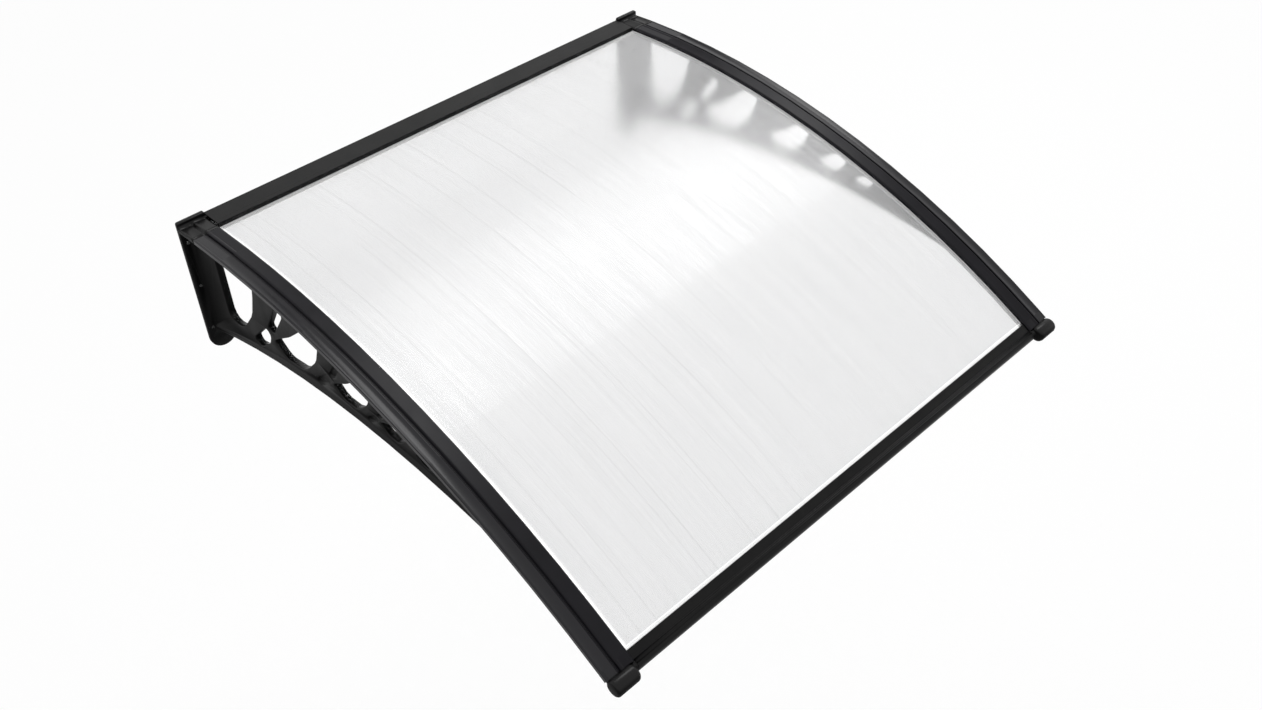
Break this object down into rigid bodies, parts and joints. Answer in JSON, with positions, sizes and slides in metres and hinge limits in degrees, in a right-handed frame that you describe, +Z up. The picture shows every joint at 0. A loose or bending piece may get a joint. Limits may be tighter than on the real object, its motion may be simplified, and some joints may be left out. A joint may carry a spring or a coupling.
{
  "type": "door canopy",
  "caption": "Door canopy with a curved clear twin-wall sheet clamped between black moulded fretwork wall brackets, with a bar along the wall and a round bar along the front edge.",
  "frame": {"origin": "the middle of the flat back of the wall seal, in the wall plane, half way across the canopy", "axes": "+X runs across the canopy to the right as seen from the street, -Y points out from the wall to the front, +Z is up"},
  "size_m": [1, 0.9858, 0.258],
  "materials": {
    "black_plastic": "satin moulded",
    "strip_plastic": "satin moulded",
    "black_aluminium": "black coated aluminium",
    "clear_sheet": "clear twin-wall sheet",
    "rubber": "matte",
    "zinc_steel": "zinc plated"
  },
  "bodies": {
    "root": {"left_bracket": "black_plastic", "right_bracket": "black_plastic", "left_cover_strip": "strip_plastic", "right_cover_strip": "strip_plastic", "roof_sheet": "clear_sheet", "rear_bar": "black_aluminium", "front_bar": "black_aluminium", "left_gasket": "rubber", "right_gasket": "rubber", "wall_seal": "rubber", "left_strip_screw_1": "zinc_steel", "left_strip_screw_2": "zinc_steel", "left_strip_screw_3": "zinc_steel", "left_strip_screw_4": "zinc_steel", "left_strip_screw_5": "zinc_steel", "right_strip_screw_1": "zinc_steel", "right_strip_screw_2": "zinc_steel", "right_strip_screw_3": "zinc_steel", "right_strip_screw_4": "zinc_steel", "right_strip_screw_5": "zinc_steel", "left_rear_bar_screw": "zinc_steel", "right_rear_bar_screw": "zinc_steel", "left_front_bar_screw": "zinc_steel", "right_front_bar_screw": "zinc_steel"}
  },
  "joints": []
}
